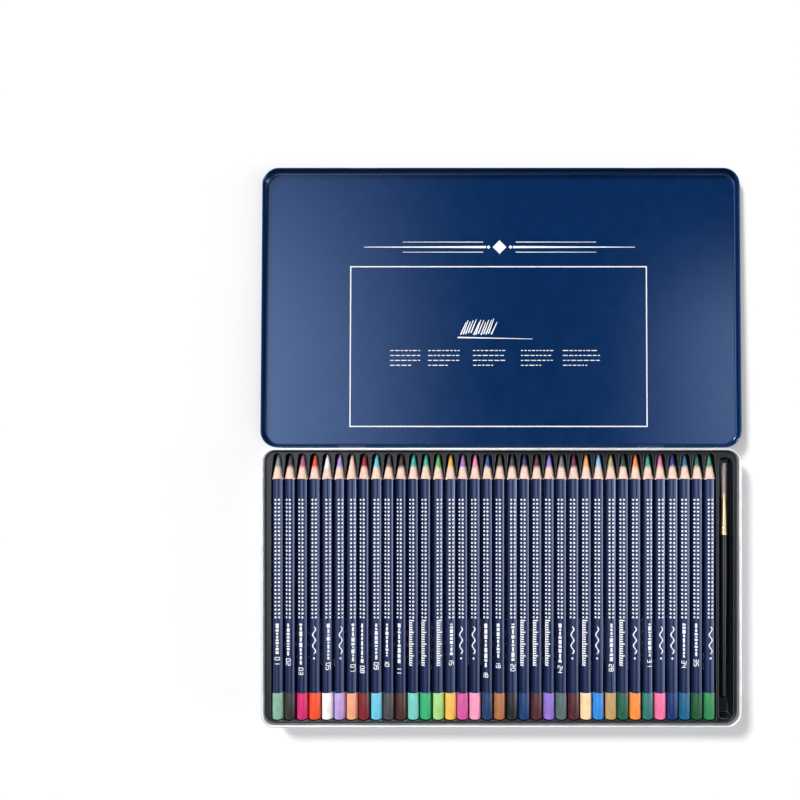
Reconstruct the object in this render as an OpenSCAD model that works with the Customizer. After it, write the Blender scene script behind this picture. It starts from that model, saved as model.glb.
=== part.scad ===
// A flat tin of thirty-six coloured pencils and a brush, with its lid folded right back.
// Origin: the middle of the base's underside. X runs to the right along the row of pencils,
// Y runs towards the hinge and the open lid, Z is up. All lengths are in millimetres.

/* [Pencils] */
// Distance from one pencil's centre line to the next
pencil_pitch = 8.15; // [8.1:0.05:8.3]
// Length of a sharpened pencil
pencil_length = 175; // [172:1:180]
// From the centre line to the middle of one of the three sides
pencil_side = 3.55; // [3.4:0.05:3.6]
// From the centre line to one of the three rounded corners
pencil_corner = 3.86; // [3.8:0.02:3.94]
// Rounding of the three corners
corner_round = 2.1; // [1.9:0.1:2.3]
// Diameter of the coloured lead
lead_d = 3.9; // [3.2:0.1:4]
// Diameter of the blunt end of the sharpened lead
point_d = 1.3; // [1:0.1:1.6]
// Angle between the centre line and the sharpened cone
cone_angle = 11.3; // [10.5:0.1:12.5]
// Radius of the domed back end
dome_r = 8; // [5.5:0.1:8]

/* [Base] */
// Thickness of the base's tinplate
base_t = 0.35; // [0.3:0.05:0.4]
// Height of the base to the top of its rolled rim
base_h = 14.8; // [14.5:0.1:15.2]
// Diameter of the rolled rim
rim_d = 1.8; // [1.6:0.1:2]
// Outer corner radius of the base, seen from above
base_corner = 9.5; // [9:0.5:11]
// Radius between the floor and the walls
floor_round = 2; // [1.5:0.1:2.5]

/* [Lid] */
// Thickness of the lid's tinplate
lid_t = 0.3; // [0.25:0.05:0.35]
// Diameter of the lid's tightly rolled edge
curl_d = 1; // [0.9:0.05:1.1]
// Height of the hinge line above the table
hinge_z = 10; // [9.8:0.1:10.4]
// Gap between the lid and the base's rim at the left and the right
side_gap = 0.45; // [0.4:0.05:0.5]
// Gap between the lid and the base's rim at the front
front_gap = 0.65; // [0.6:0.05:0.7]
// Gap between the lid and the base's rim at the hinge
hinge_gap = 0.3; // [0.3:0.05:0.35]
// Distance of the two hinge tabs from the middle
tab_x = 98.5; // [80:0.5:110]
// Width of a hinge tab
tab_w = 18; // [14:1:22]
// Distance of the two snap dimples from the middle
dimple_x = 92; // [70:1:105]
// Width of a snap dimple
dimple_w = 14; // [10:1:18]
// Height of a snap dimple
dimple_h = 3; // [2.6:0.1:3.2]
// Depth that a snap dimple is pressed in
dimple_in = 0.45; // [0.3:0.05:0.45]

/* [Tray] */
// Thickness of the formed plastic sheet
tray_t = 0.4; // [0.35:0.05:0.5]
// Height of the tray's flat top
tray_top = 11; // [10.5:0.1:11.5]
// Gap between the tray and the walls of the base
tray_gap = 0.5; // [0.4:0.1:0.6]
// Width of the flat top left of the first pencil
left_land = 3.7; // [3:0.1:5]
// Width of the flat top right of the brush slot
right_land = 2; // [1.5:0.1:3]
// Width of the flat top in front of the pencils' back ends
front_land = 1; // [0.8:0.1:1.5]
// Width of the flat top behind the pencils' points
back_land = 1.4; // [1.2:0.1:2]

/* [Brush] */
// Width of the brush slot at the top
slot_w = 9.7; // [9.4:0.1:10]
// Width of the brush slot's floor
slot_floor_w = 6.2; // [5.9:0.1:6.5]
// Length of the handle that shows
handle_length = 110; // [95:0.5:112]
// Length of the brass ferrule
ferrule_length = 27.2; // [24:0.1:29]
// Length of the clear sleeve that shows past the ferrule
sleeve_length = 20.4; // [18:0.1:21]
// Thickest place of the handle
handle_d = 5.2; // [4.8:0.1:5.3]

/* [Hidden] */
$fn = 48;
PENCILS = 36;
function two_digits(i) = i < 10 ? str("0", i) : str(i);
PENCIL_NAMES = [for (i = [1:PENCILS]) str("pencil_", two_digits(i))];
BRUSH_NAMES = ["brush_handle", "brush_ferrule", "brush_hair", "brush_sleeve"];

// Paint of each pencil's lead and dipped end, from left to right
PENCIL_COLOURS = [
    "#8fae9f", "#33343a", "#c02a72", "#e8603c", "#f2f0ea", "#a59bd0",
    "#e9a48c", "#8e1f2b", "#7fb8dc", "#4b4d52", "#4a352e", "#3aa9b4",
    "#3f9a57", "#8cc07a", "#f0b23c", "#c24a9b", "#e59ab0", "#24406f",
    "#7a5238", "#25262b", "#2a3a78", "#4d2730", "#6b3f86", "#6d7681",
    "#6e2440", "#f0c6a6", "#4478be", "#b0904a", "#24613f", "#ee8538",
    "#1f7f72", "#df6f97", "#28407f", "#2a7a99", "#1f5a3c", "#4c9468"
];
// Turn of each pencil about its own length, in degrees: they lie as they were dropped in.
// At 30 one of the three sides faces straight up
PENCIL_TURNS = [
    28, 44, 41, 31, 11, 11, 12, 48, 28, 47, 49, 49,
    49, 13, 18, 49, 47, 49, 49, 22, 49, 47, 49, 49,
    49, 48, 49, 29, 47, 43, 17, 27, 39, 47, 49, 27
];

// Sizes of the tray and the two shells, from the pencils outwards
slot_wall = 1.6;
end_gap = 0.4;
point_gap = 1;
tray_w = left_land + PENCILS * pencil_pitch + slot_wall + slot_w + right_land;
tray_d = front_land + end_gap + pencil_length + point_gap + back_land;
tray_corner = 7;
tray_round = 0.7;
inner_w = tray_w + 2 * tray_gap;
inner_d = tray_d + 2 * tray_gap;
base_w = inner_w + 2 * rim_d;
base_d = inner_d + 2 * rim_d;
rim_r = rim_d / 2;
rim_sheet = 0.3;
rim_out = rim_d - base_t;
// The rolled rim's free end stops short of the wall, at this angle under the roll
rim_end_angle = 245;

// The lid closes down onto the rim; its rolled rear edge is the hinge's pin
stop_gap = 0.3;
closed_h = base_h + stop_gap + lid_t;
curl_r = curl_d / 2;
hinge_y = base_d / 2 + hinge_gap + curl_r;
lid_w = base_w + 2 * (side_gap + lid_t);
lid_d = base_d + hinge_gap + front_gap + 2 * lid_t;
lid_y = (hinge_gap - front_gap) / 2;
lid_corner = base_corner + side_gap + lid_t;
lid_round = 2;
// Folded back past flat until the far edge comes down to the table
reach_y = hinge_y - (lid_y - lid_d / 2 + lid_round);
reach_z = closed_h - lid_round - hinge_z;
reach = sqrt(reach_y * reach_y + reach_z * reach_z);
open_angle = 180 + asin((hinge_z - lid_round) / reach) - atan(reach_z / reach_y);

// Hinge tabs: the base's sheet, curled once round the lid's rolled edge
tab_t = 0.35;
pin_gap = 0.05;
pin_r = curl_r - 0.01;
tab_bore_r = pin_r + pin_gap;
window_gap = 0.3;
window_w = tab_w + 2 * window_gap;
window_h = 2.4;

// Where the pencils lie
pencil_z = 8;
first_x = -tray_w / 2 + left_land + pencil_pitch / 2;
point_y = tray_d / 2 - back_land - point_gap;
back_y = point_y - pencil_length;
function pencil_x(i) = first_x + (i - 1) * pencil_pitch;

// Outline of a pencil: three large arcs joined by three small ones
small_arc_at = pencil_corner - corner_round;
side_step = pencil_side - corner_round;
large_arc_at = (small_arc_at * small_arc_at - side_step * side_step) / (2 * side_step - small_arc_at);
large_arc_r = pencil_side + large_arc_at;
// Each small arc stands a hair proud, so that it crosses the large arcs at both ends
arc_proud = 0.02;
// The sharpener's cone is taken a little wider than the barrel, so that it cuts every corner
cone_past = 0.5;
cone_length = (pencil_corner + cone_past - point_d / 2) / tan(cone_angle);
lead_fit = 0.02;
lead_end_gap = 2;

// The channels that hold the pencils
groove_r = 4.2;
ridge_drop = 1.5;
ridge_z = pencil_z - ridge_drop;
groove_tip_r = 2.9;
shoulder_length = 15;
shoulder_y = point_y - shoulder_length;
channel_top_y = point_y + point_gap;
channel_end_y = back_y - end_gap;
end_arc_r = 8;
foot_gap = 0.3;
// The skirt stops where the round between the base's floor and walls would come too near
inner_round = floor_round - base_t;
tray_foot_z = floor_round - sqrt(pow(inner_round - foot_gap, 2) - pow(inner_round - tray_gap, 2));

// The slot that holds the brush
slot_x = tray_w / 2 - right_land - slot_w / 2;
slot_floor_z = 3;
slot_front_land = 2.8;
slot_back_land = 3.8;
slot_front_y = slot_front_land - tray_d / 2;
slot_back_y = tray_d / 2 - slot_back_land;
slot_draft = (slot_w - slot_floor_w) / 2;
slot_corner = 2.6;
slot_outer_corner = 5.5;

// The brush, along its own length from the end of the handle; a fingertip fits in front of it
finger_room = 10.6;
handle_end_y = slot_front_y + finger_room;
brush_lift = 0.3;
brush_z = slot_floor_z + brush_lift + handle_d / 2;
handle_neck = handle_length;
ferrule_tip = handle_neck + ferrule_length;
sleeve_tip = ferrule_tip + sleeve_length;
neck_r = 2.4;
ferrule_t = 0.25;
ferrule_tip_r = 1.25;
ferrule_taper = (neck_r - ferrule_tip_r) / ferrule_length;
// Middle of each crimped groove, from the ferrule's wide end, and its depth
crimps_at = [2.6, 5.4];
crimp_in = 0.12;
tenon_length = 9;
tenon_fit = 0.03;
hair_length = 13;
hair_root = 7;
sleeve_t = 0.2;
sleeve_fit = 0.05;
sleeve_on_ferrule = 4;

// A wall profile, x outwards and y up, swept round a rounded rectangle whose edge is at x = 0
module swept_round(w, d, r) {
    for (turn = [0:90:270]) {
        half = turn % 180 == 0 ? w / 2 : d / 2;
        run = (turn % 180 == 0 ? d : w) - 2 * r;
        corner_x = (turn == 0 || turn == 270) ? w / 2 - r : r - w / 2;
        corner_y = turn < 180 ? d / 2 - r : r - d / 2;
        rotate([0, 0, turn]) translate([half, 0, 0]) rotate([90, 0, 0])
            linear_extrude(run, center = true) children();
        translate([corner_x, corner_y, 0]) rotate([0, 0, turn])
            rotate_extrude(angle = 90) translate([r, 0]) children();
    }
}

module rounded_rectangle(w, d, r) {
    square([w - 2 * r, d], center = true);
    square([w, d - 2 * r], center = true);
    for (sx = [-1, 1], sy = [-1, 1])
        translate([sx * (w / 2 - r), sy * (d / 2 - r)]) circle(r);
}

module ring(outer_r, inner_r) {
    difference() {
        circle(outer_r);
        circle(inner_r);
    }
}

// A wedge of a circle from one angle to another, less than half a turn apart
module wedge(r, from, to) {
    far = r / cos((to - from) / 4);
    mid = (from + to) / 2;
    polygon([
        [0, 0],
        [far * cos(from), far * sin(from)],
        [far * cos(mid), far * sin(mid)],
        [far * cos(to), far * sin(to)]
    ]);
}

// Quarter of a rolled corner between a wall and a flat sheet, in a profile whose wall ends at x = 0
module rolled_quarter(r, t) {
    intersection() {
        translate([-r, r]) ring(r, r - t);
        translate([-r, 0]) square(r);
    }
}

module base_profile() {
    rim_z = base_h - rim_r;
    rolled_quarter(floor_round, base_t);
    translate([-base_t, floor_round]) square([base_t, rim_z - floor_round]);
    translate([rim_r - base_t, rim_z]) difference() {
        ring(rim_r, rim_r - rim_sheet);
        wedge(2 * rim_r, 180, rim_end_angle);
    }
}

// One hinge tab: a strap down from the rolled rim and a ring round the hinge line
module hinge_tab() {
    strap_in = -tab_bore_r - tab_t;
    rise = base_h - rim_r - hinge_z;
    rim_y = base_d / 2 - rim_r - hinge_y;
    // The strap stands upright to a third of its height, then slants up into the rim's roll
    upright = rise / 3;
    in_rim_y = rim_y + 0.4 * rim_r;
    in_rim_z = rise - 0.5 * rim_r;
    rotate([90, 0, 90]) linear_extrude(tab_w, center = true) {
        ring(tab_bore_r + tab_t, tab_bore_r);
        polygon([
            [strap_in, 0],
            [-tab_bore_r, 0],
            [-tab_bore_r, upright],
            [in_rim_y + tab_t, in_rim_z],
            [in_rim_y, in_rim_z],
            [strap_in, upright]
        ]);
    }
}

module base_tin() {
    color("#d9dcdf") {
        w = base_w - 2 * rim_out;
        d = base_d - 2 * rim_out;
        r = base_corner - rim_out;
        linear_extrude(base_t)
            rounded_rectangle(w - 2 * floor_round, d - 2 * floor_round, r - floor_round);
        swept_round(w, d, r) base_profile();
        for (side = [-1, 1])
            translate([side * tab_x, hinge_y, hinge_z]) hinge_tab();
    }
}

module lid_profile() {
    translate([0, closed_h]) mirror([0, 1]) rolled_quarter(lid_round, lid_t);
    translate([-lid_t, hinge_z]) square([lid_t, closed_h - lid_round - hinge_z]);
    translate([curl_r - lid_t, hinge_z]) circle(curl_r);
}

// A pressed dimple seen as two crossed cylinders whose nearest points lie at y = 0
module dimple(shrink) {
    across_r = (dimple_w * dimple_w / 4 + dimple_in * dimple_in) / (2 * dimple_in);
    height_r = (dimple_h * dimple_h / 4 + dimple_in * dimple_in) / (2 * dimple_in);
    intersection() {
        translate([0, -across_r, 0])
            cylinder(h = 2 * dimple_h, r = across_r - shrink, center = true, $fn = 180);
        translate([0, -height_r, 0]) rotate([0, 90, 0])
            cylinder(h = 2 * dimple_w, r = height_r - shrink, center = true);
    }
}

// The lid as it stands when it is shut
module shut_lid() {
    inner_front_y = lid_y - lid_d / 2 + lid_t;
    dimple_y = inner_front_y + dimple_in;
    dimple_z = base_h - rim_d - dimple_h / 2;
    difference() {
        union() {
            translate([0, lid_y, closed_h - lid_t]) linear_extrude(lid_t)
                rounded_rectangle(lid_w - 2 * lid_round, lid_d - 2 * lid_round, lid_corner - lid_round);
            translate([0, lid_y, 0]) swept_round(lid_w, lid_d, lid_corner) lid_profile();
            for (side = [-1, 1])
                translate([side * dimple_x, dimple_y, dimple_z]) difference() {
                    dimple(0);
                    translate([-dimple_w, -2 * dimple_w - dimple_in, -dimple_h])
                        cube([2 * dimple_w, 2 * dimple_w, 2 * dimple_h]);
                }
        }
        for (side = [-1, 1]) {
            translate([side * dimple_x, dimple_y, dimple_z]) dimple(lid_t);
            translate([side * tab_x - window_w / 2, hinge_y - 2 * curl_r, hinge_z - 2 * curl_r])
                cube([window_w, 4 * curl_r, window_h + 2 * curl_r]);
        }
    }
    // The rolled edge runs on through both windows, as the hinge's pin
    for (side = [-1, 1])
        translate([side * tab_x, hinge_y, hinge_z]) rotate([0, 90, 0])
            cylinder(h = window_w + 4 * curl_r, r = pin_r, center = true);
}

module lid_tin() {
    color("#1f3468")
        translate([0, hinge_y, hinge_z]) rotate([-open_angle, 0, 0])
            translate([0, -hinge_y, -hinge_z]) shut_lid();
}

// All the pencils' channels seen from above, grown by g
module channels_plan(g) {
    tip_y = channel_top_y - groove_tip_r;
    end_y = channel_end_y + end_arc_r;
    half = pencil_pitch / 2 + g;
    translate([pencil_x(1) - half, end_y])
        square([(PENCILS - 1) * pencil_pitch + 2 * half, shoulder_y - end_y]);
    for (i = [1:PENCILS]) translate([pencil_x(i), 0]) {
        translate([0, tip_y]) circle(groove_tip_r + g);
        polygon([
            [-half, shoulder_y],
            [half, shoulder_y],
            [groove_tip_r + g, tip_y],
            [-groove_tip_r - g, tip_y]
        ]);
        intersection() {
            translate([0, end_y]) circle(end_arc_r + g, $fn = 96);
            translate([-half, end_y - 2 * end_arc_r]) square([2 * half, 2 * end_arc_r]);
        }
    }
}

// The floor of the pencil bed across the tin, round grooves between low ridges, grown by g
module bed_section(g, top) {
    left = pencil_x(1) - pencil_pitch;
    right = pencil_x(PENCILS) + pencil_pitch;
    translate([left, ridge_z - g]) square([right - left, top - ridge_z + g]);
    for (i = [1:PENCILS])
        translate([pencil_x(i), pencil_z]) circle(groove_r + g, $fn = 96);
}

module channels(g, top) {
    intersection() {
        translate([0, 0, ridge_z - 2 * groove_r])
            linear_extrude(top - ridge_z + 2 * groove_r) channels_plan(g);
        rotate([90, 0, 0]) linear_extrude(2 * tray_d, center = true) bed_section(g, top);
    }
}

// The brush slot: a long pocket with sloping sides, grown by g
module slot(g, top) {
    w = slot_w + 2 * g;
    d = slot_back_y - slot_front_y + 2 * g;
    floor_z = slot_floor_z - g;
    above = top - tray_top;
    lean = slot_draft / (tray_top - slot_floor_z);
    spread = lean * above;
    low = slot_draft + lean * g;
    translate([slot_x, (slot_front_y + slot_back_y) / 2, 0]) intersection() {
        translate([0, 0, floor_z]) linear_extrude(top - floor_z) difference() {
            rounded_rectangle(w, d, slot_corner + g);
            translate([w / 2 - slot_outer_corner, d / 2 - slot_outer_corner])
                difference() {
                    square(slot_outer_corner);
                    circle(slot_outer_corner);
                }
        }
        rotate([90, 0, 0]) linear_extrude(d, center = true) polygon([
            [-w / 2 + low, floor_z], [w / 2 - low, floor_z],
            [w / 2 + spread, top], [-w / 2 - spread, top]
        ]);
        rotate([90, 0, 90]) linear_extrude(w, center = true) polygon([
            [-d / 2 + low, floor_z], [d / 2 - low, floor_z],
            [d / 2 + spread, top], [-d / 2 - spread, top]
        ]);
    }
}

module tray() {
    color("#2b2e33") difference() {
        union() {
            translate([0, 0, tray_top - tray_t]) linear_extrude(tray_t)
                rounded_rectangle(
                    tray_w - 2 * tray_round, tray_d - 2 * tray_round, tray_corner - tray_round
                );
            swept_round(tray_w, tray_d, tray_corner) {
                translate([0, tray_top]) mirror([0, 1]) rolled_quarter(tray_round, tray_t);
                translate([-tray_t, tray_foot_z]) square([tray_t, tray_top - tray_round - tray_foot_z]);
            }
            channels(tray_t, tray_top);
            slot(tray_t, tray_top);
        }
        channels(0, tray_top + 1);
        slot(0, tray_top + 1);
    }
}

// Cross-section of a pencil, with one corner on the x axis
module pencil_outline() {
    cut = 2 * pencil_corner;
    large_to_small = [small_arc_at + large_arc_at * cos(60), large_arc_at * sin(60)];
    joint_x = -large_arc_at * cos(60) + large_arc_r * large_to_small[0] / norm(large_to_small);
    difference() {
        intersection_for (turn = [60, 180, 300])
            rotate(turn) translate([-large_arc_at, 0]) circle(large_arc_r);
        for (turn = [0, 120, 240])
            rotate(turn) translate([joint_x, -cut / 2]) square(cut);
    }
    for (turn = [0, 120, 240])
        rotate(turn) translate([small_arc_at, 0]) circle(corner_round + arc_proud);
}

// Everything inside the sharpened cone, from the blunt point down to the back end, along +Z
module sharpened(length) {
    cylinder(h = cone_length, r1 = point_d / 2, r2 = point_d / 2 + cone_length * tan(cone_angle));
    translate([0, 0, cone_length]) cylinder(h = length - cone_length, r = 1.5 * pencil_corner);
}

// A pencil lying with its point towards +Y: the wooden casing and the lead are separate solids
module pencil(i) {
    translate([pencil_x(i), point_y, pencil_z]) rotate([90, 0, 0]) rotate([0, 0, PENCIL_TURNS[i - 1]]) {
        color("#1d2b57") difference() {
            intersection() {
                linear_extrude(pencil_length + 1) pencil_outline();
                sharpened(pencil_length + 1);
            }
            translate([0, 0, -1])
                cylinder(h = pencil_length - lead_end_gap + 1, r = lead_d / 2 + lead_fit);
            difference() {
                translate([0, 0, pencil_length - dome_r / 2])
                    cylinder(h = dome_r, r = 1.5 * pencil_corner);
                translate([0, 0, pencil_length - dome_r]) sphere(dome_r);
            }
        }
        color(PENCIL_COLOURS[i - 1]) intersection() {
            cylinder(h = pencil_length - lead_end_gap - lead_fit, r = lead_d / 2);
            sharpened(pencil_length);
        }
    }
}

// Turns a profile, given as [distance along the brush, radius], about the brush's centre line
module turned_brush(points) {
    translate([slot_x, handle_end_y, brush_z]) rotate([-90, 0, 0])
        rotate_extrude() polygon([for (p = points) [p[1], p[0]]]);
}

// Wooden handle: a rounded end, a belly two thirds of the way up, and a tenon inside the ferrule
module brush_handle() {
    tenon_r = neck_r - ferrule_t - tenon_fit;
    belly_r = handle_d / 2;
    color("#15161a") turned_brush([
        [0, 0],
        [0, 0.3 * belly_r],
        [0.4, 0.5 * belly_r],
        [1.2, 0.63 * belly_r],
        [3, 0.7 * belly_r],
        [0.35 * handle_neck, 0.82 * belly_r],
        [0.62 * handle_neck, 0.94 * belly_r],
        [0.78 * handle_neck, belly_r],
        [0.92 * handle_neck, 0.97 * belly_r],
        [handle_neck - tenon_fit, neck_r],
        [handle_neck - tenon_fit, tenon_r],
        [handle_neck + tenon_length, tenon_r - tenon_length * ferrule_taper],
        [handle_neck + tenon_length, 0]
    ]);
}

// Rolled brass tube with two crimped grooves near the handle
module brush_ferrule() {
    crimps = [
        for (at = crimps_at)
            for (edge = [[-0.8, 0], [-0.4, crimp_in], [0.4, crimp_in], [0.8, 0]])
                [handle_neck + at + edge[0], neck_r - (at + edge[0]) * ferrule_taper - edge[1]]
    ];
    color("#d2a85a") turned_brush(concat(
        [[handle_neck, neck_r]],
        crimps,
        [
            [ferrule_tip, ferrule_tip_r],
            [ferrule_tip, ferrule_tip_r - ferrule_t],
            [handle_neck, neck_r - ferrule_t]
        ]
    ));
}

module brush_hair() {
    root_r = ferrule_tip_r - ferrule_t - tenon_fit;
    color("#a8764a") turned_brush([
        [ferrule_tip - hair_root, 0],
        [ferrule_tip - hair_root, root_r],
        [ferrule_tip, root_r],
        [ferrule_tip + 0.35 * hair_length, 0.92 * root_r],
        [ferrule_tip + 0.7 * hair_length, 0.75 * root_r],
        [ferrule_tip + 0.9 * hair_length, 0.35 * root_r],
        [ferrule_tip + hair_length, 0]
    ]);
}

// Clear plastic tube pushed over the tip of the ferrule to guard the hair
module brush_sleeve() {
    inner_r = ferrule_tip_r + sleeve_on_ferrule * ferrule_taper + sleeve_fit;
    color("#e9edf2") turned_brush([
        [ferrule_tip - sleeve_on_ferrule, inner_r],
        [ferrule_tip - sleeve_on_ferrule, inner_r + sleeve_t],
        [sleeve_tip, inner_r + sleeve_t],
        [sleeve_tip, inner_r]
    ]);
}

base_tin();
lid_tin();
tray();
for (i = [1:PENCILS])
    pencil(i);
brush_handle();
brush_ferrule();
brush_hair();
brush_sleeve();
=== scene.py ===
import math
import random

import bmesh
import bpy
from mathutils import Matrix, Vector


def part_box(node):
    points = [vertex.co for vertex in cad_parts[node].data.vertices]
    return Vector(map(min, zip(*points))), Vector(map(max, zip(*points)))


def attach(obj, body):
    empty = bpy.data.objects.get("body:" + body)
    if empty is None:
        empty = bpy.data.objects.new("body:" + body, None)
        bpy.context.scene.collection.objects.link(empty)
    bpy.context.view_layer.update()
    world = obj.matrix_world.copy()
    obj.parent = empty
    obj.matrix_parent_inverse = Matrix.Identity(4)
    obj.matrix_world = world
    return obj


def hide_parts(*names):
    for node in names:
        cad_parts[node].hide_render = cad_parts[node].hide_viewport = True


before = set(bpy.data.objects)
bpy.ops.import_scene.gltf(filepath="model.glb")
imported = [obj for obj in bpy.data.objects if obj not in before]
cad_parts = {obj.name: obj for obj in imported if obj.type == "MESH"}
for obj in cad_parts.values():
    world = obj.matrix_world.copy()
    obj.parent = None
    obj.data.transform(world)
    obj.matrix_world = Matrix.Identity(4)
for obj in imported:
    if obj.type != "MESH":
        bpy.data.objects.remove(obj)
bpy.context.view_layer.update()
print("frame loaded with", len(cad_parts), "nodes")

millimetre = 0.001
noiseSpan = (0.3, 0.7)      # nearly all values of a noise lie between these
noiseMean = 0.5
noiseDetail = 3.0

# A Mix node has several sockets of one name, so its colour sockets are told apart by their places
mixShare, mixFirst, mixSecond = 0, 6, 7
mixResult = 2


def linearColour(hexCode):
    channels = [int(hexCode[i:i + 2], 16) / 255 for i in (1, 3, 5)]
    return [c / 12.92 if c <= 0.04045 else ((c + 0.055) / 1.055) ** 2.4 for c in channels] + [1.0]


white = linearColour("#ffffff")


def shaded(hexCode, factor):
    # A darker or paler tone of a colour
    channels = [int(hexCode[i:i + 2], 16) for i in (1, 3, 5)]
    return "#" + "".join(f"{min(255, round(c * factor)):02x}" for c in channels)


def addNode(tree, kind, settings=None, inputs=None, feeds=None):
    # inputs holds values, or sockets to link from; feeds is the socket that the first output is linked to
    node = tree.nodes.new(kind)
    for name, value in (settings or {}).items():
        setattr(node, name, value)
    for name, value in (inputs or {}).items():
        if isinstance(value, bpy.types.NodeSocket):
            tree.links.new(value, node.inputs[name])
        else:
            node.inputs[name].default_value = value
    if feeds is not None:
        tree.links.new(node.outputs[0], feeds)
    return node


def setStops(ramp, stops):
    elements = ramp.color_ramp.elements
    while len(elements) < len(stops):
        elements.new(0.5)
    for element, (place, hexCode) in zip(elements, stops):
        element.position = place
        element.color = linearColour(hexCode)
    return ramp.outputs["Color"]


def perMetre(sizeInMm):
    return 1 / (sizeInMm * millimetre)      # a pattern's scale from its real size


def emptyTree(owner):
    owner.use_nodes = True
    owner.node_tree.nodes.clear()
    return owner.node_tree


def startMaterial(name, shaderInputs):
    material = bpy.data.materials.new(name)
    tree = emptyTree(material)
    shader = addNode(tree, "ShaderNodeBsdfPrincipled", inputs=shaderInputs)
    addNode(tree, "ShaderNodeOutputMaterial", inputs={"Surface": shader.outputs[0]})
    place = addNode(tree, "ShaderNodeTexCoord").outputs["Object"]
    return material, tree, shader, place


# The photograph was taken from straight above; the optical axis meets it right of and below its middle
photo = {
    "framePx": 800,
    "axisXPx": 501,
    "axisYPx": 449,
    "aboveY": 90.9,         # mm, the point of the table straight under the lens
    "height": 500,          # mm
    "lens": 33.4,
    "sensor": 36,
    "nearClip": 0.01,       # m
}

lights = {
    "sunEnergy": 2.9,
    "sunFrom": (-0.77, 0.89, 1.0),
    "sunAngle": 14,         # degrees, a soft box some way off
    "skyBase": 0.01,
    # Soft boxes of the sky: brightness, then where each comes on and goes off along X and along Y
    "boxes": [
        (3.05, (0.0, -0.4), (-0.85, -0.42), (-0.02, 0.04), (0.58, 0.14)),   # left third of the lid
        (2.15, (0.12, 0.36), (0.6, 0.42), (-0.02, 0.04), (0.35, 0.18)),     # right edge of the lid
        (2.0, (0.3, -0.2), (-1.1, -0.25), (-0.5, -0.06), (0.04, -0.02)),    # left of each pencil
        (2.6, (0.22, 0.6), (1.0, 0.98), (-0.6, -0.1), (0.04, -0.02)),       # right of each pencil
        (6.0, (0.86, 0.94), (1.0, 0.985), (-0.5, -0.06), (0.04, -0.02)),    # thin streak beside it
        (0.2, (-0.85, -0.5), (0.85, 0.5), (0.5, 0.62), (2.0, 1.5)),         # pale wall beyond the lid
        (0.2, (-0.85, -0.5), (0.85, 0.5), (-0.5, -0.62), (-2.0, -1.5)),     # pale wall in front
    ],
}

paper = {
    "hex": "#e6e6e7",
    "glow": 0.055,          # lifts the lit paper just to white where it is seen or mirrored
    "half": 4.0,            # m
    "drop": 0.0002,         # m, under the tin's flat underside
}


def makeCamera():
    data = bpy.data.cameras.new("camera")
    data.sensor_width = photo["sensor"]
    data.lens = photo["lens"]
    data.shift_x = (photo["framePx"] / 2 - photo["axisXPx"]) / photo["framePx"]
    data.shift_y = (photo["axisYPx"] - photo["framePx"] / 2) / photo["framePx"]
    data.clip_start = photo["nearClip"]
    camera = bpy.data.objects.new("camera", data)
    camera.location = (0, photo["aboveY"] * millimetre, photo["height"] * millimetre)
    bpy.context.scene.collection.objects.link(camera)
    bpy.context.scene.camera = camera


def makeSun():
    data = bpy.data.lights.new("softSun", "SUN")
    data.energy = lights["sunEnergy"]
    data.angle = math.radians(lights["sunAngle"])
    sun = bpy.data.objects.new("softSun", data)
    sun.rotation_euler = Vector(lights["sunFrom"]).to_track_quat("Z", "Y").to_euler()
    bpy.context.scene.collection.objects.link(sun)


def makeSky():
    world = bpy.data.worlds.new("studio")
    tree = emptyTree(world)
    direction = addNode(tree, "ShaderNodeTexCoord").outputs["Generated"]
    axes = addNode(tree, "ShaderNodeSeparateXYZ", inputs={"Vector": direction}).outputs
    level = lights["skyBase"]
    for brightness, xOn, xOff, yOn, yOff in lights["boxes"]:
        box = brightness
        for axis, (low, high) in (("X", xOn), ("X", xOff), ("Y", yOn), ("Y", yOff)):
            edge = addNode(tree, "ShaderNodeMapRange", {"interpolation_type": "SMOOTHSTEP"},
                           {"Value": axes[axis], "From Min": low, "From Max": high}).outputs[0]
            box = addNode(tree, "ShaderNodeMath", {"operation": "MULTIPLY"}, {0: edge, 1: box}).outputs[0]
        level = addNode(tree, "ShaderNodeMath", {"operation": "ADD"}, {0: box, 1: level}).outputs[0]
    sky = addNode(tree, "ShaderNodeBackground", inputs={"Color": white, "Strength": level})
    backdrop = addNode(tree, "ShaderNodeBackground", inputs={"Color": white, "Strength": 1.0})
    seen = addNode(tree, "ShaderNodeLightPath").outputs["Is Camera Ray"]
    both = addNode(tree, "ShaderNodeMixShader", inputs={0: seen, 1: sky.outputs[0], 2: backdrop.outputs[0]})
    addNode(tree, "ShaderNodeOutputWorld", inputs={"Surface": both.outputs[0]})
    bpy.context.scene.world = world


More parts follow.
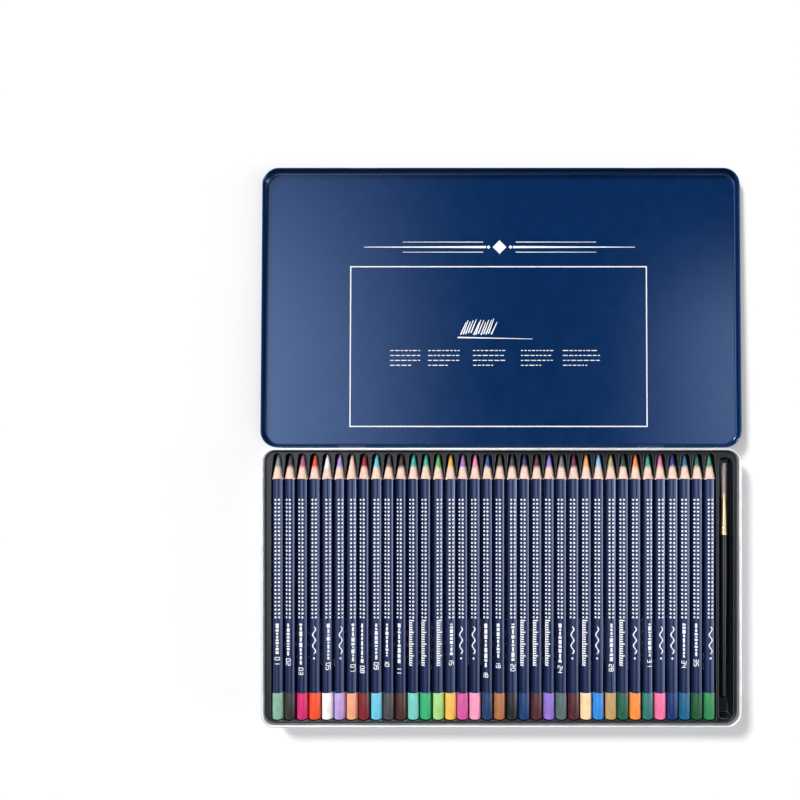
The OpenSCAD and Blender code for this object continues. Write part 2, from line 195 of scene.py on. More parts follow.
def makeFloor():
    # Matt white paper: shows the soft shadow, and clips to white away from it
    material = bpy.data.materials.new("whitePaper")
    tree = emptyTree(material)
    matt = addNode(tree, "ShaderNodeBsdfDiffuse", inputs={"Color": linearColour(paper["hex"])})
    path = addNode(tree, "ShaderNodeLightPath").outputs
    seen = path["Is Camera Ray"]
    for ray in ("Is Transmission Ray", "Is Glossy Ray"):
        seen = addNode(tree, "ShaderNodeMath", {"operation": "MAXIMUM"}, {0: seen, 1: path[ray]}).outputs[0]
    glow = addNode(tree, "ShaderNodeMath", {"operation": "MULTIPLY"}, {0: seen, 1: paper["glow"]}).outputs[0]
    lit = addNode(tree, "ShaderNodeEmission", inputs={"Color": white, "Strength": glow})
    both = addNode(tree, "ShaderNodeAddShader", inputs={0: matt.outputs[0], 1: lit.outputs[0]})
    addNode(tree, "ShaderNodeOutputMaterial", inputs={"Surface": both.outputs[0]})
    half, low = paper["half"], -paper["drop"]
    mesh = bpy.data.meshes.new("paper")
    mesh.from_pydata([(-half, -half, low), (half, -half, low), (half, half, low), (-half, half, low)],
                     [], [(0, 1, 2, 3)])
    floor = bpy.data.objects.new("paper", mesh)
    mesh.materials.append(material)
    bpy.context.scene.collection.objects.link(floor)


makeCamera()
makeSun()
makeSky()
makeFloor()
bpy.context.scene.view_settings.view_transform = "Standard"
print("camera, lamps and floor are set")


def addFinish(tree, shader, place, look, under=None):
    # What the finishes share: noise in object space that changes the gloss a little from place to place,
    # and the tones and the relief that follow it. A ripple is a relief of its own size.
    stretched = addNode(tree, "ShaderNodeMapping", inputs={
        "Vector": place, "Scale": look["stretch"]}).outputs[0]
    noise = addNode(tree, "ShaderNodeTexNoise", inputs={
        "Vector": stretched, "Scale": perMetre(look["grain"]), "Detail": noiseDetail}).outputs[0]
    addNode(tree, "ShaderNodeMapRange", feeds=shader.inputs["Roughness"], inputs={
        "Value": noise, "From Min": noiseSpan[0], "From Max": noiseSpan[1],
        "To Min": look["roughness"][0], "To Max": look["roughness"][1]})
    if "tones" in look:
        ramp = addNode(tree, "ShaderNodeValToRGB", inputs={"Fac": noise}, feeds=shader.inputs["Base Color"])
        setStops(ramp, look["tones"])
    height = noise
    if "ripple" in look:
        height = addNode(tree, "ShaderNodeTexNoise", inputs={
            "Vector": place, "Scale": perMetre(look["ripple"]), "Detail": 1.0}).outputs[0]
    if "relief" in look:
        depth, strength, layer = look["relief"]
        bump = addNode(tree, "ShaderNodeBump", feeds=shader.inputs[layer], inputs={
            "Height": height, "Distance": depth * millimetre, "Strength": strength})
        if under is not None:
            tree.links.new(under, bump.inputs["Normal"])
    return noise


# In every finish, grain and ripple are sizes in millimetres, tones are stops of a ramp over the noise, and
# relief is the depth in millimetres, the strength and the layer that has it
tinplate = {
    "grain": 0.5,
    "stretch": (0.04, 1, 1),
    "roughness": (0.55, 0.65),
    "relief": (0.001, 0.2, "Normal"),
    "cloud": 7.0,           # mm
    "cloudTones": [(0.35, "#eceef1"), (0.65, "#f6f7f9")],
    "tabsBeyondY": 91.95,   # mm
    "tabHex": "#0a2b59",
}


def brightTinplate():
    # Tin-coated steel sheet with a matt finish: pale, with a faint grain along the rolling direction.
    # The real grain is about 0.05 mm wide; it is drawn at 0.5 mm so that it shows. The hinge tabs behind
    # the rim are printed navy, so that they don't stand out against the lid's edge.
    material, tree, shader, place = startMaterial("brightTinplate", {})
    addFinish(tree, shader, place, tinplate)
    cloud = addNode(tree, "ShaderNodeTexNoise", inputs={
        "Vector": place, "Scale": perMetre(tinplate["cloud"]), "Detail": noiseDetail}).outputs[0]
    bare = setStops(addNode(tree, "ShaderNodeValToRGB", inputs={"Fac": cloud}), tinplate["cloudTones"])
    depth = addNode(tree, "ShaderNodeSeparateXYZ", inputs={"Vector": place}).outputs["Y"]
    isBare = addNode(tree, "ShaderNodeMath", {"operation": "LESS_THAN"}, feeds=shader.inputs["Metallic"],
                     inputs={0: depth, 1: tinplate["tabsBeyondY"] * millimetre}).outputs[0]
    printed = addNode(tree, "ShaderNodeMix", {"data_type": "RGBA"}, {
        mixShare: isBare, mixFirst: linearColour(tinplate["tabHex"]), mixSecond: bare})
    tree.links.new(printed.outputs[mixResult], shader.inputs["Base Color"])
    return material


enamel = {
    "grain": 9.0,           # slow change of the ink's depth
    "stretch": (1, 1, 1),
    "roughness": (0.1, 0.14),
    "ripple": 1.3,          # orange peel of the stoved varnish
    "relief": (0.004, 0.5, "Coat Normal"),
    "insideTones": [(0.3, "#072852"), (0.7, "#0a2b59")],
    "outsideTones": [(0.3, "#1a2150"), (0.7, "#1f2759")],
    "shimmerHex": "#a2c5ff",        # the ink's own shimmer is blue
    "middle": (0, 0.184, 0.03),     # m, inside the hollow of the open lid
}


def lithoEnamel():
    # Tinplate printed navy on both faces and stoved under clear varnish: deep, even and glossy.
    # The inside ink is a little bluer than the outside; a face points outwards where its normal leaves
    # the middle of the open lid.
    material, tree, shader, place = startMaterial("lithoEnamel", {
        "IOR": 1.6, "Specular IOR Level": 0.75, "Specular Tint": linearColour(enamel["shimmerHex"]),
        "Coat Weight": 0.15, "Coat Roughness": 0.05, "Coat IOR": 1.5})
    mottle = addFinish(tree, shader, place, enamel)
    fromMiddle = addNode(tree, "ShaderNodeVectorMath", {"operation": "SUBTRACT"},
                         {0: place, 1: enamel["middle"]}).outputs[0]
    normal = addNode(tree, "ShaderNodeTexCoord").outputs["Normal"]
    outward = addNode(tree, "ShaderNodeVectorMath", {"operation": "DOT_PRODUCT"},
                      {0: fromMiddle, 1: normal}).outputs["Value"]
    isOutside = addNode(tree, "ShaderNodeMath", {"operation": "GREATER_THAN"},
                        {0: outward, 1: 0.0}).outputs[0]
    inks = [setStops(addNode(tree, "ShaderNodeValToRGB", inputs={"Fac": mottle}), enamel[tones])
            for tones in ("insideTones", "outsideTones")]
    ink = addNode(tree, "ShaderNodeMix", {"data_type": "RGBA"}, {
        mixShare: isOutside, mixFirst: inks[0], mixSecond: inks[1]})
    tree.links.new(ink.outputs[mixResult], shader.inputs["Base Color"])
    return material


polystyrene = {
    "grain": 2.5,
    "stretch": (1, 1, 1),
    "roughness": (0.14, 0.22),
    "ripple": 11.0,         # slow waves from the stretching
    "relief": (0.12, 0.5, "Normal"),
    "hex": "#14171b",
    "shimmerHex": "#eaf3ff",
    "edgeRound": 0.8,       # mm
    "edgeSamples": 6,
    # Painted highlight: the paler colour given to the rounded edges
    "edgeHighlightHex": "#5e656c",
    "highlightFrom": 0.96,       # cosine between the rounded and the flat normal where the painted highlight starts
    "highlightFull": 0.76,
}


def blackPolystyrene():
    # High-impact polystyrene sheet, vacuum formed: near black, satin, with slow waves from the stretching,
    # and a painted highlight: the base colour turns paler along the rounded edges, where they catch the
    # light
    material, tree, shader, place = startMaterial("blackPolystyrene", {
        "IOR": 1.55, "Specular IOR Level": 0.45, "Specular Tint": linearColour(polystyrene["shimmerHex"])})
    # The sheet can't turn a sharp corner as it is drawn down: its edges are round and catch the light
    rounded = addNode(tree, "ShaderNodeBevel", {"samples": polystyrene["edgeSamples"]},
                      {"Radius": polystyrene["edgeRound"] * millimetre}).outputs[0]
    addFinish(tree, shader, place, polystyrene, under=rounded)
    # Painted highlight: the base colour turns paler where the rounded normal leans away from the flat one,
    # along the edges
    flat = addNode(tree, "ShaderNodeNewGeometry").outputs["Normal"]
    alike = addNode(tree, "ShaderNodeVectorMath", {"operation": "DOT_PRODUCT"},
                    {0: rounded, 1: flat}).outputs["Value"]
    paintedHighlight = addNode(tree, "ShaderNodeMapRange", inputs={
        "Value": alike, "From Min": polystyrene["highlightFrom"], "From Max": polystyrene["highlightFull"]}).outputs[0]
    blend = addNode(tree, "ShaderNodeMix", {"data_type": "RGBA"}, {
        mixShare: paintedHighlight, mixFirst: linearColour(polystyrene["hex"]),
        mixSecond: linearColour(polystyrene["edgeHighlightHex"])})
    tree.links.new(blend.outputs[mixResult], shader.inputs["Base Color"])
    return material


lacquer = {
    "grain": 5.0,
    "stretch": (1, 0.25, 1),
    "roughness": (0.1, 0.16),
    "tones": [(0.3, "#091638"), (0.7, "#0d1c42")],
    "ripple": 1.6,
    "relief": (0.005, 0.5, "Coat Normal"),
    "shimmerHex": "#b5cbff",
}


def navyLacquer():
    # Several dips of nitrocellulose lacquer over the wood: dark, wet-looking, very slightly rippled
    material, tree, shader, place = startMaterial("navyLacquer", {
        "IOR": 1.6, "Specular IOR Level": 0.75, "Specular Tint": linearColour(lacquer["shimmerHex"]),
        "Coat Weight": 0.15, "Coat Roughness": 0.05, "Coat IOR": 1.52})
    addFinish(tree, shader, place, lacquer)
    return material


wood = {
    "grain": 0.35,
    "stretch": (1, 0.06, 1),
    "roughness": (0.5, 0.7),
    "relief": (0.02, 0.6, "Normal"),
    "bareTones": [(0.3, "#d8aa94"), (0.5, "#ebc8b5"), (0.7, "#f4dccf")],
    "stainFull": 7.0,       # mm from the tip; up to here the wood has all of the stain
    "stainEnd": 9.4,        # mm from the tip
    "stainSway": 3.2,       # mm
    "stainStrength": 0.75,
    "streak": 0.8,          # mm
    "streakStretch": (1, 0.2, 1),
}


def basswood(number, leadHex, tipY):
    # Pale straight-grained wood cut by the sharpener: matt, with fine lines along the pencil, and stained
    # in streaks by the lead next to it. Basswood's pores are 0.06 mm apart; they are drawn at 0.35 mm.
    material, tree, shader, place = startMaterial(f"basswood{number}", {
        "IOR": 1.45, "Specular IOR Level": 0.3})
    grain = addFinish(tree, shader, place, wood)
    bare = setStops(addNode(tree, "ShaderNodeValToRGB", inputs={"Fac": grain}), wood["bareTones"])
    along = addNode(tree, "ShaderNodeSeparateXYZ", inputs={"Vector": place}).outputs["Y"]
    stretched = addNode(tree, "ShaderNodeMapping", inputs={
        "Vector": place, "Scale": wood["streakStretch"]}).outputs[0]
    streak = addNode(tree, "ShaderNodeTexNoise", inputs={
        "Vector": stretched, "Scale": perMetre(wood["streak"]), "Detail": 2.0}).outputs[0]
    swayed = addNode(tree, "ShaderNodeMath", {"operation": "MULTIPLY_ADD"},
                     {0: streak, 1: wood["stainSway"] * millimetre, 2: along}).outputs[0]
    swayMean = noiseMean * wood["stainSway"]
    stain = addNode(tree, "ShaderNodeMapRange", inputs={
        "Value": swayed, "From Min": (tipY - wood["stainEnd"] + swayMean) * millimetre,
        "From Max": (tipY - wood["stainFull"] + swayMean) * millimetre,
        "To Max": wood["stainStrength"]}).outputs[0]
    blend = addNode(tree, "ShaderNodeMix", {"data_type": "RGBA"}, {
        mixShare: stain, mixFirst: bare, mixSecond: linearColour(leadHex)})
    tree.links.new(blend.outputs[mixResult], shader.inputs["Base Color"])
    return material


wax = {
    "grain": 0.4,
    "stretch": (0.3, 1, 0.3),
    "roughness": (0.4, 0.6),
    "factors": ((0.3, 0.88), (0.7, 1.06)),      # place on the ramp, factor on the lead's own colour
    "relief": (0.02, 0.5, "Normal"),
}


def waxLead(number, hexCode):
    # Pigment bound in wax, turned by the sharpener's blade: satin, with faint rings of a darker tone.
    # The blade's rings are about 0.1 mm apart; they are drawn at 0.4 mm.
    material, tree, shader, place = startMaterial(f"waxLead{number}", {
        "IOR": 1.45, "Specular IOR Level": 0.4})
    tones = [(stop, shaded(hexCode, factor)) for stop, factor in wax["factors"]]
    addFinish(tree, shader, place, dict(wax, tones=tones))
    return material


paint = {
    "grain": 3.0,
    "stretch": (1, 0.5, 1),
    "roughness": (0.25, 0.38),
    "factors": ((0.3, 0.92), (0.7, 1.0)),
    "relief": (0.01, 0.4, "Coat Normal"),
}


def dippedPaint(number, hexCode):
    # The back end dipped once more in the pencil's own colour: thick glossy paint with a soft edge
    material, tree, shader, place = startMaterial(f"dippedPaint{number}", {
        "IOR": 1.5, "Specular IOR Level": 0.3, "Coat Weight": 0.35, "Coat Roughness": 0.07, "Coat IOR": 1.5})
    tones = [(stop, shaded(hexCode, factor)) for stop, factor in paint["factors"]]
    addFinish(tree, shader, place, dict(paint, tones=tones))
    return material


ink = {"grain": 0.8, "stretch": (1, 1, 1)}
pencilInkLook = dict(ink, roughness=(0.3, 0.45), tones=[(0.25, "#dddee0"), (0.5, "#f6f7f9")])
lidInkLook = dict(ink, roughness=(0.32, 0.47), tones=[(0.25, "#dadcde"), (0.5, "#f2f4f7")])


def whiteInk(name, look):
    # Opaque white screen ink laid thick: slightly raised, with a little of the ground showing through.
    # The screen's mesh is about 0.15 mm wide; it is drawn at 0.8 mm.
    material, tree, shader, place = startMaterial(name, {
        "IOR": 1.5, "Coat Weight": 0.3, "Coat Roughness": 0.2})
    addFinish(tree, shader, place, look)
    return material


wash = {
    "grain": 6.0,
    "stretch": (1, 1, 1),
    "roughness": (0.3, 0.38),
    "layers": (             # size in mm, shift in m
        {"size": 46.0, "shift": (0.3, 0.1, 0),
         "tones": [(0.36, "#b9a6d6"), (0.5, "#efe9f6"), (0.62, "#c9d6ea")]},
        {"size": 30.0, "shift": (1.7, 0.9, 0),
         "tones": [(0.4, "#9ad2cf"), (0.52, "#f4f6fa"), (0.7, "#dfc8e2")]}),
    "detail": 5.0,
    "swirl": 0.6,
    "overlap": 0.85,
}


def watercolourWash():
    # Printed panel: overlapping pale washes of lilac, grey blue and teal on white, under the same varnish
    material, tree, shader, place = startMaterial("watercolourWash", {
        "IOR": 1.5, "Coat Weight": 0.6, "Coat Roughness": 0.07, "Coat IOR": 1.5})
    addFinish(tree, shader, place, wash)
    layers = []
    for layer in wash["layers"]:
        moved = addNode(tree, "ShaderNodeMapping", inputs={
            "Vector": place, "Location": layer["shift"]}).outputs[0]
        noise = addNode(tree, "ShaderNodeTexNoise", inputs={
            "Vector": moved, "Scale": perMetre(layer["size"]), "Detail": wash["detail"],
            "Distortion": wash["swirl"]}).outputs[0]
        layers.append(setStops(addNode(tree, "ShaderNodeValToRGB", inputs={"Fac": noise}), layer["tones"]))
    blend = addNode(tree, "ShaderNodeMix", {"data_type": "RGBA", "blend_type": "MULTIPLY"}, {
        mixShare: wash["overlap"], mixFirst: layers[0], mixSecond: layers[1]})
    tree.links.new(blend.outputs[mixResult], shader.inputs["Base Color"])
    return material


handle = {
    "grain": 4.0,
    "stretch": (1, 0.2, 1),
    "roughness": (0.2, 0.32),
    "relief": (0.01, 0.4, "Coat Normal"),
    "hex": "#0d0e11",
}


def blackLacquer():
    # Turned hardwood dipped in black lacquer: deep black with long clean highlights
    material, tree, shader, place = startMaterial("blackLacquer", {
        "Base Color": linearColour(handle["hex"]), "IOR": 1.5, "Specular IOR Level": 0.15,
        "Coat Weight": 1.0, "Coat Roughness": 0.05})
    addFinish(tree, shader, place, handle)
    return material


brass = {
    "grain": 0.3,
    "stretch": (1, 0.04, 1),
    "roughness": (0.28, 0.4),
    "tones": [(0.3, "#f2d296"), (0.7, "#fff0c8")],
    "relief": (0.004, 0.4, "Normal"),
}


def drawnBrass():
    # Seamless brass tube, drawn and lacquered: warm, with fine lines along the tube.
    # The lines are about 0.05 mm apart; they are drawn at 0.3 mm.
    material, tree, shader, place = startMaterial("drawnBrass", {"Metallic": 1.0})
    addFinish(tree, shader, place, brass)
    return material


pony = {
    "grain": 0.25,
    "stretch": (1, 0.05, 1),
    "roughness": (0.35, 0.55),
    "tones": [(0.3, "#a8745a"), (0.7, "#ecc4ac")],
}


def ponyHair():
    # Soft brown hair: fine strands of two tones with a sheen along their length.
    # A hair is about 0.07 mm thick; the change of tone is drawn at 0.25 mm.
    material, tree, shader, place = startMaterial("ponyHair", {
        "IOR": 1.5, "Sheen Weight": 0.3, "Sheen Roughness": 0.4})
    addFinish(tree, shader, place, pony)
    return material


vinyl = {
    "grain": 0.5,
    "stretch": (1, 0.03, 1),
    "roughness": (0.04, 0.12),
    "relief": (0.006, 0.3, "Normal"),
    "hex": "#faf4f4",
}


def clearVinyl():
    # Extruded clear PVC tube: thin, a little milky, with slight draw lines.
    # The lines are about 0.1 mm apart; they are drawn at 0.5 mm.
    material, tree, shader, place = startMaterial("clearVinyl", {
        "Base Color": linearColour(vinyl["hex"]), "IOR": 1.4, "Transmission Weight": 0.8, "Alpha": 0.55})
    addFinish(tree, shader, place, vinyl)
    return material


def paintNode(node, material):
    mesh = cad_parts[node].data
    mesh.materials.clear()
    mesh.materials.append(material)


navy = navyLacquer()
pencilInk = whiteInk("whitePencilInk", pencilInkLook)
for nodeName, nodeMaterial in {
        "base_tin": brightTinplate(), "lid_tin": lithoEnamel(), "tray": blackPolystyrene(),
        "brush_handle": blackLacquer(), "brush_ferrule": drawnBrass(), "brush_sleeve": clearVinyl()}.items():
    paintNode(nodeName, nodeMaterial)
print("materials are made")


def makePiece(name, build, materials, body, sharpAngle=30, replaced=None):
    # build is a bmesh in metres, in the row frame; the line between two materials stays crisp
    build.normal_update()
    for edge in build.edges:
        faces = edge.link_faces
        edge.smooth = len(faces) == 2 and faces[0].material_index == faces[1].material_index
    for face in build.faces:
        face.smooth = True
    mesh = bpy.data.meshes.new(name)
    build.to_mesh(mesh)
    build.free()
    for material in materials:
        mesh.materials.append(material)
    wereSharp = [edge.use_edge_sharp for edge in mesh.edges]
    mesh.set_sharp_from_angle(angle=math.radians(sharpAngle))
    for edge, wasSharp in zip(mesh.edges, wereSharp):
        edge.use_edge_sharp = edge.use_edge_sharp or wasSharp
    piece = bpy.data.objects.new(name, mesh)
    bpy.context.scene.collection.objects.link(piece)
    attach(piece, body)
    if replaced:
        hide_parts(replaced)


def addSkin(build, rings, bandMaterials):
    # Joins rings of points into a closed skin; its two ends run in to a point
    loops = [[build.verts.new(point) for point in ring] for ring in rings]
    count = len(rings[0])
    for band, (near, far) in enumerate(zip(loops, loops[1:])):
        for j in range(count):
            k = (j + 1) % count
            build.faces.new((near[j], near[k], far[k], far[j])).material_index = bandMaterials[band]
    for loop, last in ((loops[0], False), (loops[-1], True)):
        middle = build.verts.new(sum((v.co for v in loop), Vector()) / count)
        for j in range(count):
            k = (j + 1) % count
            corners = (loop[j], loop[k], middle) if last else (loop[k], loop[j], middle)
            build.faces.new(corners).material_index = bandMaterials[-1 if last else 0]


def addRibbon(build, edgeA, edgeB, low, high, place, closed=False, material=0):
    # A thin closed strip between two edges, from one height to another above the surface that place follows
    lowA, lowB, highA, highB = [
        [build.verts.new(place(a, b, h)) for a, b in edge] for h in (low, high) for edge in (edgeA, edgeB)]
    count = len(edgeA)
    for j in range(count if closed else count - 1):
        k = (j + 1) % count
        for quad in ((highA[j], highA[k], highB[k], highB[j]), (lowB[j], lowB[k], lowA[k], lowA[j]),
                     (lowA[j], lowA[k], highA[k], highA[j]), (highB[j], highB[k], lowB[k], lowB[j])):
            build.faces.new(quad).material_index = material
    if not closed:
        build.faces.new((lowA[0], highA[0], highB[0], lowB[0])).material_index = material
        build.faces.new((lowB[-1], highB[-1], highA[-1], lowA[-1])).material_index = material


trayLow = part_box("tray")[0]
pencilLow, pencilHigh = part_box("pencil_01")
lacquered, bareWood, painted = 0, 1, 2      # places of a casing's three materials

# Lengths are in millimetres, and those along a pencil are from its tip
pencil = {
    "count": 36,
    "seed": 100,
    "pitch": 8.15,
    "leftLand": 3.7,        # flat of the tray left of the first pencil
    "axisZ": 8.0,
    "tipY": pencilHigh.y / millimetre,
    "length": (pencilHigh.y - pencilLow.y) / millimetre,
    "cornerToSide": 60,     # degrees, from a corner of the barrel to the middle of the next side
    "cornerAt": 1.76,       # centre of a small arc, from the centre line
    "cornerRadius": 2.12,
    "sideAt": 0.873,        # centre of a large arc, on the far side of the centre line
    "sideRadius": 4.423,
    "cornerHalfTurn": 19.0,
    "cornerSteps": 6,
    "sideSteps": 9,
    "pointRadius": 0.65,
    "pointShares": ((0.62, 0.0), (0.93, 0.07)),     # share of the point's radius, place
    "pointEnd": 0.35,
    "coneAngle": 11.3,
    "coneShares": (0.33, 0.67),     # rings between the lead and the barrel
    "bareStrip": 0.15,      # least bare wood between the cone and the lacquer
    "lacquerFrom": 15.7,    # the lacquer was dipped to a straight line
    "leadRadius": 1.95,
    "leadFit": 0.02,
    "leadEndGap": 2.0,
    "leadMouth": 0.7,       # the bore runs from its own width to the cone over this length
    "smear": 0.7,           # the blade drags the lead this far over the wood
    "tongues": ((2, 0.5), (3, 0.4), (7, 0.4)),      # times round the cone, reach of the smear's tongues
    "domeRadius": 8.0,
    "domeShares": (0.94, 0.8, 0.6, 0.4, 0.2),
    "shoulderLength": 0.45,
    "shoulderDrop": 0.12,
    "shoulderIn": 0.03,
    "dipLength": 18.1,
    "dipThickness": 0.03,
    "dipEdge": 0.12,
    "dipSway": 0.12,
    "turns": [
        28, 44, 41, 31, 11, 11, 12, 48, 28, 47, 49, 49,
        49, 13, 18, 49, 47, 49, 49, 22, 49, 47, 49, 49,
        49, 48, 49, 29, 47, 43, 17, 27, 39, 47, 49, 27,
    ],
}
pencil["firstX"] = trayLow.x / millimetre + pencil["leftLand"] + pencil["pitch"] / 2

# Each pencil's lead and dipped end
shades = [
    ("#7f9594", "#86b09a"), ("#4a443c", "#33302f"), ("#b8648c", "#d4286e"), ("#e25436", "#f4502a"),
    ("#fbfafa", "#fafafa"), ("#b090e0", "#bf9fe0"), ("#f0c4b2", "#f2a680"), ("#a32438", "#7c2229"),
    ("#5fc6dc", "#6cc8e2"), ("#605558", "#4a484a"), ("#3e302a", "#4a2a28"), ("#45b8a8", "#74ccc0"),
    ("#4ab898", "#34ac70"), ("#5cb06a", "#a4d884"), ("#f2b44e", "#f4be56"), ("#a878c4", "#d056a0"),
    ("#ee86b0", "#ff9cc0"), ("#34508c", "#1c3c64"), ("#5c5444", "#b07048"), ("#414a4c", "#202226"),
    ("#3c4060", "#1c3c72"), ("#5c3c38", "#50282a"), ("#9078d4", "#8e72cc"), ("#6c7478", "#586a6c"),
    ("#6c3450", "#52202e"), ("#f4a870", "#ffd8a8"), ("#8cc0ea", "#3288dc"), ("#b8a878", "#c09a62"),
    ("#2c463c", "#1e6048"), ("#f28a50", "#fa9040"), ("#3c9c88", "#2c7470"), ("#e878a8", "#fb74a0"),
    ("#38388c", "#12306c"), ("#2c6c90", "#1c6088"), ("#2f6f54", "#1e5436"), ("#44946c", "#2f8a52"),
]


def turnedBy(radius, degrees):
    return Vector((radius * math.cos(math.radians(degrees)), radius * math.sin(math.radians(degrees))))


def barrelOutline():
    # Three small arcs at the corners joined by three large ones, from the first corner anticlockwise
    points = []
    toSide = pencil["cornerToSide"]
    half = pencil["cornerHalfTurn"]
    for corner in (0, 2 * toSide, 4 * toSide):
        for step in range(pencil["cornerSteps"] + 1):
            turn = corner + half * (2 * step / pencil["cornerSteps"] - 1)
            points.append(turnedBy(pencil["cornerAt"], corner) + turnedBy(pencil["cornerRadius"], turn))
        for step in range(1, pencil["sideSteps"]):
            turn = corner + toSide + (toSide - half) * (2 * step / pencil["sideSteps"] - 1)
            points.append(turnedBy(pencil["sideRadius"], turn) - turnedBy(pencil["sideAt"], corner + toSide))
    return points


outline = barrelOutline()
reaches = [point.length for point in outline]
directions = [point.normalized() for point in outline]
coneSlope = math.tan(math.radians(pencil["coneAngle"]))


def pencilPlace(index):
    # Turns a point of a pencil, (across, up, from the tip), into the row frame
    centreX = pencil["firstX"] + index * pencil["pitch"]
    turn = math.radians(pencil["turns"][index])
    cosine, sine = math.cos(turn), math.sin(turn)

    def place(x, y, z):
        return Vector((centreX + x * cosine - y * sine, pencil["tipY"] - z,
                       pencil["axisZ"] + x * sine + y * cosine)) * millimetre
    return place


def sidePlace(index, side):
    # Turns (across the side, from the tip, above the surface) into the row frame, round the curved side
    place = pencilPlace(index)
    middle = pencil["cornerToSide"] * (2 * side + 1)

    def onSide(across, along, height):
        turn = middle - math.degrees(across / pencil["sideRadius"])
        point = turnedBy(pencil["sideRadius"] + height, turn) - turnedBy(pencil["sideAt"], middle)
        return place(point.x, point.y, along)
    return onSide


def shifted(values, step):
    return [value + step for value in values]


def between(near, far, share):
    return [low + share * (high - low) for low, high in zip(near, far)]


def same(value):
    return [value] * len(outline)


def onCone(heights):
    return [pencil["pointRadius"] + z * coneSlope for z in heights]


def onDome(radii):
    domeRadius = pencil["domeRadius"]
    return [pencil["length"] - domeRadius + math.sqrt(domeRadius ** 2 - reach ** 2) for reach in radii]


def makePencil(index):
    draw = random.Random(pencil["seed"] + index)
    place = pencilPlace(index)
    name = f"pencil_{index + 1:02d}"
    phaseA, phaseB, dipPhase, phaseC = [draw.uniform(0, 2 * math.pi) for _ in range(4)]
    angles = [math.atan2(d.y, d.x) for d in directions]
    # The blade smears the lead over the wood in uneven tongues
    tongues = [sum(reach * math.sin(times * a + phase)
                   for (times, reach), phase in zip(pencil["tongues"], (phaseA, phaseB, phaseC)))
               for a in angles]
    leadEnds = shifted(tongues, (pencil["leadRadius"] - pencil["pointRadius"]) / coneSlope + pencil["smear"])
    leadMouths = shifted(leadEnds, pencil["leadMouth"])
    scallops = [(reach - pencil["pointRadius"]) / coneSlope for reach in reaches]
    lacquerEdges = [max(z + pencil["bareStrip"], pencil["lacquerFrom"]) for z in scallops]
    dips = [pencil["length"] - pencil["dipLength"] + pencil["dipSway"] * math.sin(a + dipPhase)
            for a in angles]
    proud = shifted(reaches, pencil["dipThickness"])
    shoulder = onDome(reaches)
    boreReach = pencil["leadRadius"] + pencil["leadFit"]
    boreEnd = pencil["length"] - pencil["leadEndGap"]

    def ring(radii, heights):
        return [place(d.x * r, d.y * r, z) for d, r, z in zip(directions, radii, heights)]

    # Rings from the bore's end out over the cone and back to the dipped end, each with what leads to it
    steps = [
        (same(boreReach), same(boreEnd), bareWood),
        (same(boreReach), leadMouths, bareWood),
        (onCone(leadEnds), leadEnds, bareWood)]
    for share in pencil["coneShares"]:
        heights = between(leadEnds, scallops, share)
        steps.append((onCone(heights), heights, bareWood))
    steps += [
        (reaches, scallops, bareWood),
        (reaches, lacquerEdges, bareWood),
        (reaches, between(scallops, dips, 0.5), lacquered),
        (reaches, dips, lacquered),
        (proud, shifted(dips, pencil["dipEdge"]), painted),
        (proud, shifted(shoulder, -pencil["shoulderLength"]), painted),
        (shifted(reaches, -pencil["shoulderIn"]), shifted(shoulder, -pencil["shoulderDrop"]), painted)]
    for share in pencil["domeShares"]:
        radii = [share * reach for reach in reaches]
        steps.append((radii, onDome(radii), painted))
    casing = bmesh.new()
    addSkin(casing, [ring(radii, heights) for radii, heights, _ in steps],
            [band for _, _, band in steps[1:]])
    leadHex, endHex = shades[index]
    casingWood = basswood(index + 1, leadHex, pencil["tipY"])
    makePiece(f"{name}_casing", casing, [navy, casingWood, dippedPaint(index + 1, endHex)], name,
              replaced=name)

    halfway = between(same(0.0), leadEnds, 0.5)
    rings = [ring(same(share * pencil["pointRadius"]), same(z)) for share, z in pencil["pointShares"]]
    for heights in (same(pencil["pointEnd"]), halfway, leadEnds):
        rings.append(ring(onCone(heights), heights))
    for heights in (leadMouths, same(boreEnd - pencil["leadFit"])):
        rings.append(ring(same(pencil["leadRadius"]), heights))
    lead = bmesh.new()
    addSkin(lead, rings, [0] * (len(rings) - 1))
    makePiece(f"{name}_lead", lead, [waxLead(index + 1, leadHex)], name)


# Raised dots for the fingers on two of the three sides, and a band of plain printed marks behind them
grip = {
    "rows": 31,
    "rowPitch": 2.58,
    "firstRow": 29.6,       # from the tip
    "columns": (-1.22, 1.22),
    "radius": 0.76,
    "profile": ((1.0, -0.06), (0.86, 0.072), (0.5, 0.12)),      # share of the radius, height
    "corners": 8,
    "plainTurn": 30,        # degrees; a pencil turned further has its third side down, others their second
}
marks = {
    "seed": 500,
    "kinds": (0, 1, 2, 2),
    "start": 109.0,
    "inkHeight": 0.03,
    "inkSunk": 0.03,
    "acrossPiece": 0.6,     # a stroke is split this often across, so that it follows the curved side
    "ladderLength": 30.0,
    "ladderPitch": 1.55,
    "ladderWide": 1.6,
    "longEvery": 5,
    "shortTick": 0.35,      # share of a long one's reach
    "tick": 0.85,
    "spine": 0.4,
    "waveAfter": 4,
    "waveLength": 18.0,
    "waveTurns": 2.5,
    "waveSteps": 36,
    "waveReach": 0.95,
    "waveHalf": 0.42,
    "waveDotAfter": 3,
    "dashAfter": 2,
    "dashCount": 9,
    "dashLengths": (0.9, 3.2),
    "dashHalves": (0.65, 1.0),
    "dashGap": 0.7,
    "numberAfter": 1.5,
    "digitHigh": 2.9,
    "digitWide": 1.7,
    "digitGap": 0.95,
    "digitStroke": 0.5,
}

# Which strokes of a seven-stroke figure each digit has: top, upper right, lower right, bottom, and so on
digitStrokes = {
    "0": "abcdef", "1": "bc", "2": "abged", "3": "abgcd", "4": "fgbc",
    "5": "afgcd", "6": "afgedc", "7": "abc", "8": "abcdefg", "9": "abfgcd",
}


